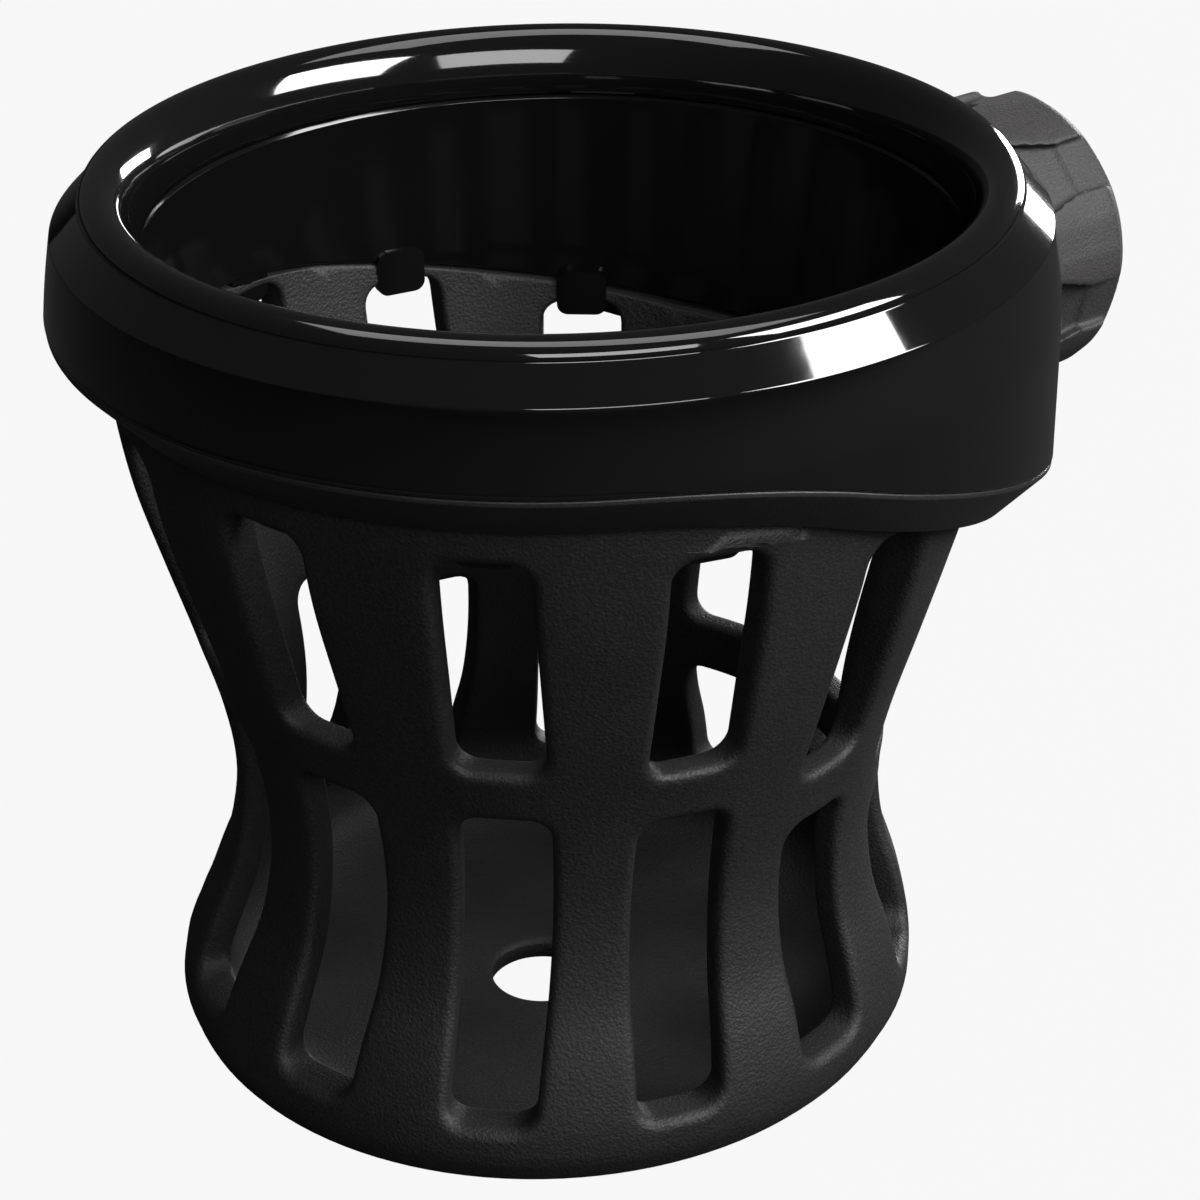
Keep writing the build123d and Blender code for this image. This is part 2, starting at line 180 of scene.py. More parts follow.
def between(tree, value, low, high, from_low=0.3, from_high=0.7):
    """Map Range node that turns a mask into a number between low and high."""
    span = tree.nodes.new("ShaderNodeMapRange")
    for socket, number in (("From Min", from_low), ("From Max", from_high),
                           ("To Min", low), ("To Max", high)):
        span.inputs[socket].default_value = number
    tree.links.new(value, span.inputs["Value"])
    return span.outputs["Result"]


piano_black, tree, shader = material("piano_black")
shader.inputs["Base Color"].default_value = (0.0035, 0.0035, 0.0038, 1)
shader.inputs["IOR"].default_value = 1.52
shader.inputs["Coat Weight"].default_value = 0.6
shader.inputs["Coat Roughness"].default_value = 0.03
smears = soft_noise(tree, 34.0, 4.0, 0.6)
tree.links.new(between(tree, smears.outputs["Fac"], 0.05, 0.085), shader.inputs["Roughness"])
orange_peel = soft_noise(tree, 420.0, 1.0)
ripple = tree.nodes.new("ShaderNodeBump")
ripple.inputs["Strength"].default_value = 0.012
ripple.inputs["Distance"].default_value = 0.0004
tree.links.new(orange_peel.outputs["Fac"], ripple.inputs["Height"])
tree.links.new(ripple.outputs["Normal"], shader.inputs["Normal"])
ring.data.materials.append(piano_black)

# ---------------------------------------------------------------- mount boss
# Round boss on the mount side of the ring, with the flat recess that holds the toothed disc.
# Turned from one section about the stud's axis and finished with the ring.
axis_z = 80.1
boss_r, boss_x, recess_r, recess_x, hole_r = 11.8, 54.7, 10.45, 53.1, 4.6


def turned(section, sides, flat=None):
    """Points and faces of a section of (x, r) turned about the stud's axis."""
    verts, faces, count = [], [], len(section)
    for i in range(sides):
        angle = 2 * math.pi * i / sides
        verts += [(x, r * math.cos(angle), axis_z + r * math.sin(angle)) for x, r in section]
    for i in range(sides):
        a, b = i * count, (i + 1) % sides * count
        for j in range(count):
            k = (j + 1) % count
            faces.append((a + j, b + j, b + k, a + k))
    return verts, faces


boss = new_piece("ring_boss", *turned(rounded([
    (50.4, boss_r), (boss_x, boss_r, 0.4), (boss_x, recess_r, 0.2), (recess_x, recess_r),
    (recess_x, hole_r), (50.4, hole_r)]), 128), "holder", ["ring_shell"], "ring")
boss.data.materials.append(piano_black)

# ---------------------------------------------------------------- trim ring
# Satin moulded ring under the skirt. Its bevel follows the skirt's edge all the way round,
# and its spigot stands up inside the skirt behind the basket's collar.
bevel_h, bevel_in, trim_bore_r, spigot_r = 5.8, 4.9, 47.8, 50.0


def trim_section(angle):
    """Section of the trim ring at one angle: bevel, bore and spigot."""
    top = edge_z((band_r - 0.1) * math.cos(angle)) - 0.06
    low = top - bevel_h + 0.06
    return rounded([
        (spigot_r, top), (band_r - 0.1, top, 0.18), (band_r - 0.1, top - 0.55, 0.3),
        (band_r - 0.1 - bevel_in, low, 0.35), (trim_bore_r, low), (trim_bore_r, ceiling_z - 1.3),
        (spigot_r, ceiling_z - 1.3)])


trim = new_piece("trim_ring_satin", *carried_round(trim_section, 300), "holder",
                 ["trim_ring"], "trim")

# Moulded grain, shared by the trim, the basket and the grip: fine speckle over a slow mottle.
grain = bpy.data.node_groups.new("moulded_grain", "ShaderNodeTree")
for label, kind, start in (("Speckle Size", "NodeSocketFloat", 2600.0),
                           ("Mottle Size", "NodeSocketFloat", 60.0)):
    grain.interface.new_socket(label, in_out="INPUT", socket_type=kind).default_value = start
grain.interface.new_socket("Height", in_out="OUTPUT", socket_type="NodeSocketFloat")
grain.interface.new_socket("Speckle", in_out="OUTPUT", socket_type="NodeSocketFloat")
grain.interface.new_socket("Mottle", in_out="OUTPUT", socket_type="NodeSocketFloat")
given = grain.nodes.new("NodeGroupInput")
given_out = grain.nodes.new("NodeGroupOutput")
where = grain.nodes.new("ShaderNodeTexCoord")
speckle = grain.nodes.new("ShaderNodeTexNoise")
speckle.inputs["Detail"].default_value = 1.5
speckle.inputs["Roughness"].default_value = 0.7
pits = grain.nodes.new("ShaderNodeTexVoronoi")
mottle = grain.nodes.new("ShaderNodeTexNoise")
mottle.inputs["Detail"].default_value = 3.0
both = grain.nodes.new("ShaderNodeMath")
both.operation = "MULTIPLY_ADD"
both.inputs[1].default_value = 0.55
for noise, size in ((speckle, "Speckle Size"), (pits, "Speckle Size"), (mottle, "Mottle Size")):
    grain.links.new(where.outputs["Object"], noise.inputs["Vector"])
    grain.links.new(given.outputs[size], noise.inputs["Scale"])
grain.links.new(pits.outputs["Distance"], both.inputs[0])
grain.links.new(speckle.outputs["Fac"], both.inputs[2])
grain.links.new(both.outputs[0], given_out.inputs["Height"])
grain.links.new(speckle.outputs["Fac"], given_out.inputs["Speckle"])
grain.links.new(mottle.outputs["Fac"], given_out.inputs["Mottle"])


def moulded(name, dark, light, rough_low, rough_high, size, bump, specular=0.5):
    """Moulded matt material: speckled colour, mottled roughness and a grained bump."""
    made, tree, shader = material(name)
    shader.inputs["Specular IOR Level"].default_value = specular
    grained = tree.nodes.new("ShaderNodeGroup")
    grained.node_tree = grain
    grained.inputs["Speckle Size"].default_value = size
    grained.inputs["Mottle Size"].default_value = 60.0
    tint = tree.nodes.new("ShaderNodeValToRGB")
    tint.color_ramp.elements[0].position = 0.35
    tint.color_ramp.elements[0].color = (*dark, 1)
    tint.color_ramp.elements[1].position = 0.68
    tint.color_ramp.elements[1].color = (*light, 1)
    relief = tree.nodes.new("ShaderNodeBump")
    relief.inputs["Strength"].default_value = bump
    relief.inputs["Distance"].default_value = 0.0002
    tree.links.new(grained.outputs["Speckle"], tint.inputs["Fac"])
    tree.links.new(tint.outputs["Color"], shader.inputs["Base Color"])
    tree.links.new(between(tree, grained.outputs["Mottle"], rough_low, rough_high),
                   shader.inputs["Roughness"])
    tree.links.new(grained.outputs["Height"], relief.inputs["Height"])
    tree.links.new(relief.outputs["Normal"], shader.inputs["Normal"])
    return made


trim.data.materials.append(moulded("satin_trim", (0.010, 0.010, 0.011), (0.016, 0.016, 0.017),
                                   0.42, 0.5, 4200.0, 0.18))

# ---------------------------------------------------------------- basket
# Hourglass basket moulded in matt rubber, with two rows of slots whose edges are rounded.
# Each slot is one tile: rings of faces run from the tile's border to the slot's edge, over
# the rounding, through the wall and back out on the inside. The tiles share their borders.
slots, slot_w, slot_corner = 12, 9.6, 2.4
slot_top_gap, tile_over_slot = 4.2, 1.65
slot_flat_z = edge_flat_z - bevel_h - slot_top_gap
slot_slope, rail_slope = 0.62 * edge_slope, edge_slope
spread_1, spread_2 = math.radians(3.2), math.radians(1.3)
rail_z, rail_h, foot_z = 54.0, 6.6, 11.1
outer_round, inner_round, drain_r, floor_t, band_z = 1.25, 0.7, 6.0, 2.8, 8.6
slot_row_r = 46.0


def smooth_curve(points, steps=12):
    """Dense points on a smooth curve through the given ones."""
    ends = [np.array(points[0]) * 2 - points[1]] + [np.array(p, float) for p in points]
    ends.append(np.array(points[-1]) * 2 - points[-2])
    out = []
    for i in range(1, len(ends) - 2):
        a, b, c, d = ends[i - 1:i + 3]
        for k in range(steps):
            t = k / steps
            out.append(0.5 * (2 * b + (c - a) * t + (2 * a - 5 * b + 4 * c - d) * t ** 2
                              + (3 * b - a - 3 * c + d) * t ** 3))
    out.append(ends[-2])
    return np.array(out)


outside = smooth_curve([(42.8, 7.3), (42.3, 11.4), (40.5, 17.5), (38.0, 24.1), (36.8, 31.5),
                        (37.0, 38.5), (38.5, 46.5), (40.9, 55.0), (43.5, 64.0), (45.8, 72.5),
                        (47.0, 79.5), (47.5, 85.5), (47.5, 97.1)])
inside = smooth_curve([(37.2, 8.4), (38.0, 12.4), (36.6, 17.5), (34.4, 24.1), (33.4, 31.5),
                       (33.5, 38.5), (34.8, 46.5), (36.9, 55.0), (39.2, 64.0), (41.4, 72.5),
                       (42.6, 79.5), (43.2, 85.5), (43.2, 97.1)])


def outer_r(z):
    return float(np.interp(z, outside[:, 1], outside[:, 0]))


def inner_point(z):
    """Inside radius and height that face height z on the outside."""
    return float(np.interp(z, inside[:, 1], inside[:, 0])), z


def slot_turn(k):
    """Bearing of slot k from the mount, which a rib faces. The ribs widen toward the mount."""
    even = 2 * math.pi * (k + 0.5) / slots
    return even + spread_1 * math.sin(even) + spread_2 * math.sin(2 * even)


def rail_top(turn):
    return rail_z - fall(slot_row_r * math.cos(turn), rail_slope)


def slot_top(turn):
    return slot_flat_z - fall(slot_row_r * math.cos(turn), slot_slope)


side_n, end_n, corner_n = 16, 4, 6


def slot_loop(low, high, grow):
    """Points (y, z) round a slot's rounded outline, grown outward by grow, from its bottom."""
    half, rad = slot_w / 2 - slot_corner, slot_corner + grow
    z_low, z_high = low + slot_corner, high - slot_corner
    loop = []
    for k in range(end_n):
        loop.append((-half + 2 * half * k / end_n, low - grow))
    for k in range(corner_n):
        t = math.pi / 2 * k / corner_n
        loop.append((half + rad * math.sin(t), z_low - rad * math.cos(t)))
    for k in range(side_n):
        loop.append((half + rad, z_low + (z_high - z_low) * k / side_n))
    for k in range(corner_n):
        t = math.pi / 2 * k / corner_n
        loop.append((half + rad * math.cos(t), z_high + rad * math.sin(t)))
    for k in range(end_n):
        loop.append((half - 2 * half * k / end_n, high + grow))
    for k in range(corner_n):
        t = math.pi / 2 * k / corner_n
        loop.append((-half - rad * math.sin(t), z_high + rad * math.cos(t)))
    for k in range(side_n):
        loop.append((-half - rad, z_high + (z_low - z_high) * k / side_n))
    for k in range(corner_n):
        t = math.pi / 2 * k / corner_n
        loop.append((-half - rad * math.cos(t), z_low - rad * math.sin(t)))
    return loop


def border_shares():
    """Where each loop point lands on the tile's border, as (across, up) from -1 to 1 and 0 to 1."""
    across, up, h = 0.42, 0.11, corner_n // 2
    shares = [(-across + 2 * across * k / end_n, 0.0) for k in range(end_n)]
    shares += [(across + (1 - across) * k / h, 0.0) for k in range(h)]
    shares += [(1.0, up * k / h) for k in range(h)]
    shares += [(1.0, up + (1 - 2 * up) * k / side_n) for k in range(side_n)]
    shares += [(1.0, 1 - up + up * k / h) for k in range(h)]
    shares += [(1 - (1 - across) * k / h, 1.0) for k in range(h)]
    shares += [(across - 2 * across * k / end_n, 1.0) for k in range(end_n)]
    shares += [(-across - (1 - across) * k / h, 1.0) for k in range(h)]
    shares += [(-1.0, 1 - up * k / h) for k in range(h)]
    shares += [(-1.0, 1 - up - (1 - 2 * up) * k / side_n) for k in range(side_n)]
    shares += [(-1.0, up - up * k / h) for k in range(h)]
    shares += [(-1 + (1 - across) * k / h, 0.0) for k in range(h)]
    return shares


shares = border_shares()


def level_heights(k_half):
    """Heights of the tile borders' corners at a border between two slots."""
    turn = slot_turn(k_half)
    return band_z, rail_top(turn) - rail_h / 2, slot_top(turn) + tile_over_slot


def tile_rings(k, row):
    """All rings of points of one slot's tile, from its outside border to its inside border."""
    angle = slot_turn(k)
    if row == 0:
        low, high = foot_z, rail_top(angle) - rail_h
    else:
        low, high = rail_top(angle), slot_top(angle)
    left, right = level_heights(k - 0.5), level_heights(k + 0.5)
    left_turn, right_turn = slot_turn(k - 0.5), slot_turn(k + 0.5)
    border = []
    for across, up in shares:
        share = (across + 1) / 2
        z_low = left[row] + (right[row] - left[row]) * share
        z_high = left[row + 1] + (right[row + 1] - left[row + 1]) * share
        border.append((left_turn + (right_turn - left_turn) * share,
                       z_low + (z_high - z_low) * up))

    def on_outside(turn, z):
        r = outer_r(z)
        return r * math.cos(turn), r * math.sin(turn), z

    def on_inside(turn, z):
        r, z = inner_point(z)
        return r * math.cos(turn), r * math.sin(turn), z

    def cut(points, depth_from_outside, share):
        """Points of the slot's wall: share 0 lies near the outside and 1 near the inside."""
        out = []
        for y, z in points:
            ro = outer_r(z)
            ri, zi = inner_point(z)
            xo = math.sqrt(ro * ro - y * y) - depth_from_outside[0]
            xi = math.sqrt(ri * ri - y * y) + depth_from_outside[1]
            px, pz = xo + (xi - xo) * share, z + (zi - z) * share
            out.append((px * math.cos(angle) - y * math.sin(angle),
                        px * math.sin(angle) + y * math.cos(angle), pz))
        return out

    rings = []
    outer_edge = slot_loop(low, high, outer_round)
    for step in range(4):
        t = step / 4
        ring_points = []
        for (turn, z), (y, z_edge) in zip(border, outer_edge):
            edge_turn = angle + math.asin(y / outer_r(z_edge))
            ring_points.append(on_outside(turn + (edge_turn - turn) * t, z + (z_edge - z) * t))
        rings.append(ring_points)
    for step in range(6):
        t = math.pi / 2 * step / 5
        rings.append(cut(slot_loop(low, high, outer_round * (1 - math.sin(t))),
                         (outer_round * (1 - math.cos(t)), 0.0), 0.0))
    rings.append(cut(slot_loop(low, high, 0.0), (outer_round, inner_round), 0.5))
    for step in range(5):
        t = math.pi / 2 * (1 - step / 4)
        rings.append(cut(slot_loop(low, high, inner_round * (1 - math.sin(t))),
                         (0.0, inner_round * (1 - math.cos(t))), 1.0))
    inner_edge = slot_loop(low, high, inner_round)
    for step in range(1, 5):
        t = 1 - step / 4
        ring_points = []
        for (turn, z), (y, z_edge) in zip(border, inner_edge):
            edge_turn = angle + math.asin(y / inner_point(z_edge)[0])
            ring_points.append(on_inside(turn + (edge_turn - turn) * t, z + (z_edge - z) * t))
        rings.append(ring_points)
    return rings


verts, faces = [], []
for k in range(slots):
    for row in (0, 1):
        rings = tile_rings(k, row)
        count, base = len(rings[0]), len(verts)
        for ring_points in rings:
            verts += ring_points
        for i in range(len(rings) - 1):
            for j in range(count):
                a, b = base + i * count + j, base + i * count + (j + 1) % count
                faces.append((a, b, b + count, a + count))

# below the slots the wall turns into the floor, and above them it stands up as the collar
low_turns, high_turns = [], []
for k in range(slots):
    left_turn, right_turn = slot_turn(k - 0.5), slot_turn(k + 0.5)
    left, right = level_heights(k - 0.5)[2], level_heights(k + 0.5)[2]
    acrosses = sorted({round(a, 9) for a, up in shares if up == 0.0})
    for across in acrosses[:-1]:
        share = (across + 1) / 2
        turn = left_turn + (right_turn - left_turn) * share
        low_turns.append(turn)
        high_turns.append((turn, left + (right - left) * share))
under = smooth_curve([(42.8, 7.3), (41.2, 4.2), (37.2, 2.2), (31.5, 0.65), (24.0, 0.0)], 4)
over = smooth_curve([(25.0, floor_t), (31.0, 3.8), (35.2, 5.9), (37.2, 8.4)], 4)
hole_edge = [(18.0, 0.0), (7.0, 0.0), (6.45, 0.1), (6.12, 0.35), (drain_r, 0.7),
             (drain_r, floor_t - 0.7), (6.12, floor_t - 0.35), (6.45, floor_t - 0.1),
             (7.0, floor_t), (18.0, floor_t)]
foot_path = ([(outer_r(band_z), band_z)] + [tuple(p) for p in under] + hole_edge
             + [tuple(p) for p in over[:-1]] + [inner_point(band_z)])


def rows_between(columns):
    """Adds the faces that join neighbouring columns of points, closed round the basket."""
    base, count = len(verts), len(columns[0])
    for column in columns:
        verts.extend(column)
    for i in range(len(columns)):
        a, b = base + i * count, base + (i + 1) % len(columns) * count
        for j in range(count - 1):
            faces.append((a + j, b + j, b + j + 1, a + j + 1))


rows_between([[(r * math.cos(t), r * math.sin(t), z) for r, z in foot_path] for t in low_turns])
collar_top = ceiling_z - 0.3
collar = []
for turn, z in high_turns:
    ri, zi = inner_point(z)
    ledge = z + 0.15
    path = [(outer_r(z), z)] + [(outer_r(z + (collar_top - z) * s), z + (collar_top - z) * s)
                                for s in (0.15, 0.3, 0.5, 0.75, 0.97)]
    path += [(47.2, collar_top), (45.4, collar_top), (45.2, collar_top - 0.3),
             (45.2 - 1.2 * (collar_top - ledge) / 31, ledge + 0.2), (ri + 0.3, ledge), (ri, z)]
    collar.append([(r * math.cos(turn), r * math.sin(turn), h) for r, h in path])
rows_between(collar)


def sagged(point):
    """The soft wall stands a little out of true: its foot has crept to one side of the ring."""
    x, y, z = point
    creep = foot_creep * max(0.0, 1 - z / creep_top) ** 2.2
    return x + creep * math.cos(creep_turn), y + creep * math.sin(creep_turn), z


foot_creep, creep_top, creep_turn = 3.1, 60.0, math.radians(142)
basket = new_piece("basket_rubber", [sagged(v) for v in verts], faces, "holder", ["basket"],
                   "basket")
basket.data.materials.append(moulded("matt_rubber", (0.0055, 0.0053, 0.0054),
                                     (0.0125, 0.012, 0.0122), 0.55, 0.66, 2700.0, 0.42, 0.42))

# ---------------------------------------------------------------- inner sleeve
# Gloss black liner inside the collar. Shallow flats round it catch the light in upright
# streaks, and its lower edge runs just above the slots' tops.
sleeve_top_r, sleeve_low_r, sleeve_t, flats = 43.1, 41.9, 1.9, 24
sleeve_foot_z, sleeve_over_slots, sleeve_mid_r = 66.5, 2.05, 43
sleeve_taper = (sleeve_top_r - sleeve_low_r) / (ceiling_z - 0.2 - sleeve_foot_z)


def sleeve_section(angle):
    """Section of the sleeve at one angle: inside, lower edge and outside."""
    top = ceiling_z - 0.2
    low = slot_flat_z + sleeve_over_slots - fall(sleeve_mid_r * math.cos(angle), slot_slope)
    inner_at = lambda z: sleeve_low_r + (z - sleeve_foot_z) * sleeve_taper
    crown = 0.03 * (abs(math.sin(angle * flats / 2)) - 0.64)
    path = [(inner_at(top) + 0.35, top, 0.2), (inner_at(top) + crown, top - 0.5, 0.2)]
    path += [(inner_at(low + (top - low) * s) + crown, low + (top - low) * s)
             for s in (0.8, 0.6, 0.4, 0.2)]
    path += [(inner_at(low) + crown, low, 0.4), (inner_at(low) + sleeve_t - 0.1, low, 0.4),
             (inner_at(top) + sleeve_t - 0.15, top)]
    return rounded(path)


sleeve = new_piece("inner_sleeve_gloss", *carried_round(sleeve_section, 432), "holder",
                   ["inner_sleeve"], "sleeve")
gloss_liner, tree, shader = material("gloss_liner")
shader.inputs["Base Color"].default_value = (0.003, 0.003, 0.003, 1)
waviness = soft_noise(tree, 90.0, 2.0)
tree.links.new(between(tree, waviness.outputs["Fac"], 0.09, 0.15), shader.inputs["Roughness"])
sleeve.data.materials.append(gloss_liner)

# ---------------------------------------------------------------- sleeve lugs
# A rounded tab hangs from the sleeve at every slot and snaps under the slot's top edge. All
# are moulded with the sleeve; each one hangs as low as its own slot. They stand on the
# basket's wall, which leans in more than the sleeve: those near the mount are proud of it.
lug_w, lug_h, lug_corner, lug_deep, lug_below = 6.0, 5.4, 1.3, 1.4, 1.5
wall_lean, wall_known_r, wall_known_z, lug_clearance = 0.2, 42.6, 79.5, 0.1
lug_tree = bpy.data.node_groups.new("lugs_under_the_slots", "GeometryNodeTree")
for label, kind, start in (("Lugs", "NodeSocketInt", slots),
                           ("Width", "NodeSocketFloat", 0.001 * lug_w),
                           ("Height", "NodeSocketFloat", 0.001 * lug_h),
                           ("Corner", "NodeSocketFloat", 0.001 * lug_corner),
                           ("Depth", "NodeSocketFloat", 0.001 * lug_deep),
                           ("Below Slot Top", "NodeSocketFloat", 0.001 * lug_below)):
    lug_tree.interface.new_socket(label, in_out="INPUT", socket_type=kind).default_value = start
lug_tree.interface.new_socket("Geometry", in_out="OUTPUT", socket_type="NodeSocketGeometry")
sizes = lug_tree.nodes.new("NodeGroupInput").outputs
lug_out = lug_tree.nodes.new("NodeGroupOutput")


def put(socket, value):
    """Links an output to a socket, or sets the socket to a number or a triple."""
    if isinstance(value, bpy.types.NodeSocket):
        socket.id_data.links.new(value, socket)
    else:
        socket.default_value = value


def worked(operation, a, b=0.0, c=0.0):
    """Math node in the lug tree; returns its output."""
    node = lug_tree.nodes.new("ShaderNodeMath")
    node.operation = operation
    for socket, value in zip(node.inputs, (a, b, c)):
        put(socket, value)
    return node.outputs[0]


def joined(x, y, z):
    node = lug_tree.nodes.new("ShaderNodeCombineXYZ")
    for socket, value in zip(node.inputs, (x, y, z)):
        put(socket, value)
    return node.outputs[0]


# one lug: a rounded plate, filled and thickened outward from the basket's inner wall
plate = lug_tree.nodes.new("GeometryNodeCurvePrimitiveQuadrilateral")
put(plate.inputs["Width"], sizes["Height"])
put(plate.inputs["Height"], sizes["Width"])
softened = lug_tree.nodes.new("GeometryNodeFilletCurve")
put(softened.inputs["Curve"], plate.outputs["Curve"])
put(softened.inputs["Radius"], sizes["Corner"])
softened.mode = "POLY"
put(softened.inputs["Count"], 6)
filled = lug_tree.nodes.new("GeometryNodeFillCurve")
put(filled.inputs["Curve"], softened.outputs["Curve"])
pushed = lug_tree.nodes.new("GeometryNodeExtrudeMesh")
put(pushed.inputs["Mesh"], filled.outputs["Mesh"])
put(pushed.inputs["Offset Scale"], sizes["Depth"])
turned_back = lug_tree.nodes.new("GeometryNodeFlipFaces")
put(turned_back.inputs["Mesh"], filled.outputs["Mesh"])
closed = lug_tree.nodes.new("GeometryNodeJoinGeometry")
lug_tree.links.new(pushed.outputs["Mesh"], closed.inputs[0])
lug_tree.links.new(turned_back.outputs["Mesh"], closed.inputs[0])
welded = lug_tree.nodes.new("GeometryNodeMergeByDistance")
put(welded.inputs["Geometry"], closed.outputs[0])
put(welded.inputs["Distance"], 1e-6)
upright = lug_tree.nodes.new("GeometryNodeTransform")
put(upright.inputs["Geometry"], welded.outputs["Geometry"])
put(upright.inputs["Rotation"], (0.0, math.pi / 2, 0.0))

# where each lug goes: the slots' bearings, and a height from the slots' own contour
row = lug_tree.nodes.new("GeometryNodeMeshLine")
put(row.inputs["Count"], sizes["Lugs"])
number = lug_tree.nodes.new("GeometryNodeInputIndex").outputs[0]
even = worked("MULTIPLY", worked("ADD", number, 0.5),
              worked("DIVIDE", 2 * math.pi, sizes["Lugs"]))
spread = worked("ADD", worked("MULTIPLY", worked("SINE", even), spread_1),
                worked("MULTIPLY", worked("SINE", worked("MULTIPLY", even, 2.0)), spread_2))
bearing = worked("ADD", even, spread)
along = worked("SUBTRACT", worked("MULTIPLY", worked("COSINE", bearing), slot_row_r), bend_x)
eased_part = worked("MINIMUM", worked("MAXIMUM", worked("ADD", along, ease), 0.0), 2 * ease)
arc = worked("SQRT", worked("SUBTRACT", blend(slot_slope) ** 2,
                            worked("MULTIPLY", eased_part, eased_part)))
straight_part = worked("MULTIPLY", worked("MAXIMUM", worked("SUBTRACT", along, ease), 0.0),
                       slot_slope)
dropped = worked("ADD", worked("SUBTRACT", blend(slot_slope), arc), straight_part)
top_z = worked("SUBTRACT", slot_flat_z, dropped)
wall_r = worked("MULTIPLY_ADD", top_z, wall_lean,
                wall_known_r - wall_lean * wall_known_z + lug_clearance)
middle_z = worked("ADD", worked("MULTIPLY", top_z, 0.001),
                  worked("SUBTRACT", worked("MULTIPLY", sizes["Height"], 0.5),
                         sizes["Below Slot Top"]))
wall_m = worked("MULTIPLY", wall_r, 0.001)
placed = lug_tree.nodes.new("GeometryNodeSetPosition")
put(placed.inputs["Geometry"], row.outputs["Mesh"])
put(placed.inputs["Position"], joined(worked("MULTIPLY", wall_m, worked("COSINE", bearing)),
                                      worked("MULTIPLY", wall_m, worked("SINE", bearing)),
                                      middle_z))
hung = lug_tree.nodes.new("GeometryNodeInstanceOnPoints")
put(hung.inputs["Points"], placed.outputs["Geometry"])
put(hung.inputs["Instance"], upright.outputs["Geometry"])
put(hung.inputs["Rotation"], joined(0.0, 0.0, bearing))
real = lug_tree.nodes.new("GeometryNodeRealizeInstances")
put(real.inputs["Geometry"], hung.outputs["Instances"])
painted = lug_tree.nodes.new("GeometryNodeSetMaterial")
put(painted.inputs["Geometry"], real.outputs["Geometry"])
painted.inputs["Material"].default_value = gloss_liner
put(lug_out.inputs[0], painted.outputs["Geometry"])


def baked(name, tree, settings):
    """Runs a geometry tree with these inputs and returns its result as a plain object."""
    piece = bpy.data.objects.new(name, bpy.data.meshes.new(name))
    bpy.context.scene.collection.objects.link(piece)
    maker = piece.modifiers.new("maker", "NODES")
    maker.node_group = tree
    for item in tree.interface.items_tree:
        if item.in_out == "INPUT" and item.name in settings:
            maker[item.identifier] = settings[item.name]
    bpy.context.view_layer.update()
    made = bpy.data.meshes.new_from_object(
        piece.evaluated_get(bpy.context.evaluated_depsgraph_get()))
    piece.modifiers.clear()
    piece.data = made
    return piece


lugs = baked("sleeve_lugs", lug_tree, {"Lugs": slots, "Below Slot Top": 0.001 * lug_below})
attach(lugs, "holder")

# ---------------------------------------------------------------- knob
# Hand knob over the stud: a faceted soft grip on a rigid hub, with a plain cap in its end.
# The grip is the CAD shape remeshed finely, and its edges are then eased as a moulding's are.
grip_source = nodes["knob_grip"]
grip_mesh = grip_source.data.copy()
work = bmesh.new()
work.from_mesh(grip_mesh)
bmesh.ops.remove_doubles(work, verts=work.verts, dist=1e-6)
work.to_mesh(grip_mesh)
work.free()
grip = bpy.data.objects.new("knob_grip_soft", grip_mesh)
bpy.context.scene.collection.objects.link(grip)
fine_mesh = grip.modifiers.new("remesh", "REMESH")
fine_mesh.mode = "VOXEL"
fine_mesh.voxel_size = 0.0003
softer = grip.modifiers.new("softer", "SMOOTH")
softer.factor, softer.iterations = 0.5, 10
bpy.context.view_layer.update()
eased = bpy.data.meshes.new_from_object(
    grip.evaluated_get(bpy.context.evaluated_depsgraph_get()))
grip.modifiers.clear()
grip.data = eased
grip.data.materials.clear()
eased.shade_smooth()
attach(grip, "knob")
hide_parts("knob_grip")
soft_grip = moulded("soft_grip", (0.018, 0.0165, 0.0165), (0.032, 0.030, 0.030), 0.6, 0.7,
                    3300.0, 0.35)
grip.data.materials.append(soft_grip)


def repaint(name, made):
    """Gives a CAD node this material in every slot."""
    mesh = nodes[name].data
    mesh.materials.clear()
    mesh.materials.append(made)
    for face in mesh.polygons:
        face.material_index = 0


repaint("knob_cap", moulded("cap_plastic", (0.012, 0.011, 0.011), (0.02, 0.019, 0.019), 0.45,
                            0.55, 3000.0, 0.25))
repaint("knob_hub", moulded("hub_nylon", (0.012, 0.012, 0.012), (0.02, 0.02, 0.02), 0.4, 0.5,
                            2200.0, 0.2))

# ---------------------------------------------------------------- hardware
# Zinc-plated stud, toothed disc and thrust cup, black-oxide screws and clips, brass insert.
zinc, tree, shader = material("zinc_plate")
shader.inputs["Base Color"].default_value = (0.55, 0.56, 0.58, 1)
shader.inputs["Metallic"].default_value = 1.0
stain = soft_noise(tree, 160.0, 4.0)
tree.links.new(between(tree, stain.outputs["Fac"], 0.25, 0.42), shader.inputs["Roughness"])
oxide, tree, shader = material("black_oxide")
shader.inputs["Base Color"].default_value = (0.03, 0.03, 0.032, 1)
shader.inputs["Metallic"].default_value = 1.0
stain = soft_noise(tree, 210.0, 4.0)
tree.links.new(between(tree, stain.outputs["Fac"], 0.3, 0.5), shader.inputs["Roughness"])
brass, tree, shader = material("turned_brass")
shader.inputs["Base Color"].default_value = (0.72, 0.50, 0.20, 1)
shader.inputs["Metallic"].default_value = 1.0
stain = soft_noise(tree, 190.0, 3.0)
tree.links.new(between(tree, stain.outputs["Fac"], 0.22, 0.38), shader.inputs["Roughness"])
for name in ("stud", "tooth_disc", "thrust_cup"):
    repaint(name, zinc)
for name in ["disc_screw_1", "disc_screw_2", "nose_clip", "disc_spring", "stud_clip"] + [
        "collar_screw_" + str(i) for i in range(1, 7)]:
    repaint(name, oxide)
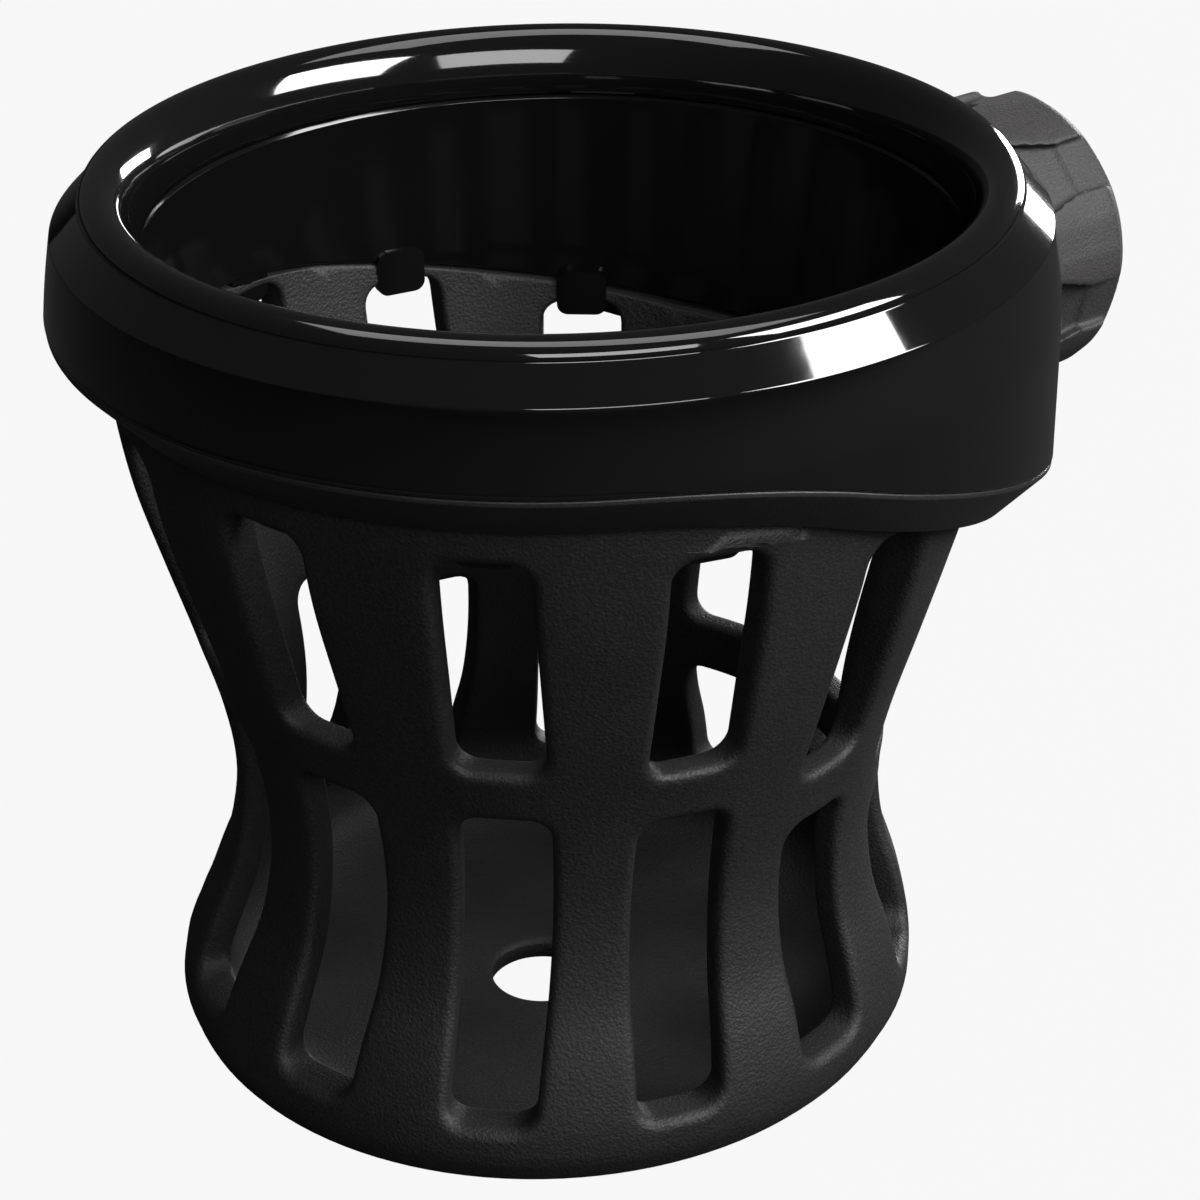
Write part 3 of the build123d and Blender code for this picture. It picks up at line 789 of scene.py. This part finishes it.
repaint("knob_insert", brass)

# ---------------------------------------------------------------- floor, light and camera
# Plain pale floor under soft studio light, and the camera above the front left.
floor_mesh = bpy.data.meshes.new("floor")
floor_mesh.from_pydata([(-3, -3, -0.0002), (3, -3, -0.0002), (3, 3, -0.0002), (-3, 3, -0.0002)],
                       [], [(0, 1, 2, 3)])
floor = bpy.data.objects.new("floor", floor_mesh)
bpy.context.scene.collection.objects.link(floor)
pale, tree, shader = material("pale_floor")
shader.inputs["Base Color"].default_value = (0.03, 0.03, 0.03, 1)
shader.inputs["Roughness"].default_value = 0.9
shader.inputs["Specular IOR Level"].default_value = 0.0
glow = tree.nodes.new("ShaderNodeEmission")
glow.inputs["Strength"].default_value = 1.0
path = tree.nodes.new("ShaderNodeLightPath")
share = tree.nodes.new("ShaderNodeMath")
share.operation = "MULTIPLY"
share.inputs[1].default_value = 0.93
floor_mix = tree.nodes.new("ShaderNodeMixShader")
tree.links.new(path.outputs["Is Camera Ray"], share.inputs[0])
tree.links.new(share.outputs[0], floor_mix.inputs["Fac"])
tree.links.new(shader.outputs["BSDF"], floor_mix.inputs[1])
tree.links.new(glow.outputs["Emission"], floor_mix.inputs[2])
tree.links.new(floor_mix.outputs["Shader"], tree.nodes["Material Output"].inputs["Surface"])
floor.data.materials.append(pale)

world = bpy.data.worlds.new("studio")
bpy.context.scene.world = world
world.use_nodes = True
tree = world.node_tree
back = tree.nodes["Background"]
back.inputs["Color"].default_value = (1, 1, 1, 1)
path = tree.nodes.new("ShaderNodeLightPath")
dim = tree.nodes.new("ShaderNodeMapRange")
dim.inputs["To Min"].default_value = 0.05
dim.inputs["To Max"].default_value = 1.0
tree.links.new(path.outputs["Is Camera Ray"], dim.inputs["Value"])
tree.links.new(dim.outputs["Result"], back.inputs["Strength"])

view_turn = math.radians(-37.7)
centre = Vector((0, 0, 0.0595))


def softbox(name, bearing, elevation, distance, width, height, power):
    """Soft box at a bearing from the camera's right, turned to face the holder."""
    lamp = bpy.data.lights.new(name, "AREA")
    lamp.shape, lamp.size, lamp.size_y, lamp.energy = "RECTANGLE", width, height, power
    turn, up = view_turn + math.radians(bearing), math.radians(elevation)
    place = centre + distance * Vector((math.cos(up) * math.cos(turn),
                                        math.cos(up) * math.sin(turn), math.sin(up)))
    lit = bpy.data.objects.new(name, lamp)
    lit.location = place
    lit.rotation_euler = (place - centre).to_track_quat("Z", "Y").to_euler()
    bpy.context.scene.collection.objects.link(lit)


softbox("key", -20, 34, 0.9, 0.55, 0.4, 13)
softbox("side", 62, 5, 0.9, 0.3, 0.25, 5)
softbox("top", 80, 84, 1.0, 1.0, 0.5, 3.5)
softbox("fill", -75, 30, 1.3, 0.8, 0.5, 7)

# the camera's place is given from the ring: distance, height angle, roll and aim
unit = 0.048
aim = (0.0935 * unit, 0.0, 0.001 * crest_z - 1.08 * unit)
distance, elevation, roll, focal = 7.0 * unit, math.radians(27.95), math.radians(-0.68), 3003.0
frame_side, sensor_side = 1200, 36.0
offset = Vector((0, -math.cos(elevation), math.sin(elevation))) * distance
right = Vector((1, 0, 0))
ahead = -offset.normalized()
up = right.cross(ahead)
right, up = (math.cos(roll) * right + math.sin(roll) * up,
             -math.sin(roll) * right + math.cos(roll) * up)
spin = Matrix.Rotation(view_turn, 3, "Z")
lens = bpy.data.cameras.new("camera")
lens.sensor_width = sensor_side
lens.lens = focal / frame_side * sensor_side
camera = bpy.data.objects.new("camera", lens)
facing = Matrix((spin @ right, spin @ up, spin @ -ahead)).transposed()
camera.matrix_world = Matrix.Translation(spin @ (Vector(aim) + offset)) @ facing.to_4x4()
bpy.context.scene.collection.objects.link(camera)
bpy.context.scene.camera = camera
bpy.context.scene.view_settings.view_transform = "Standard"
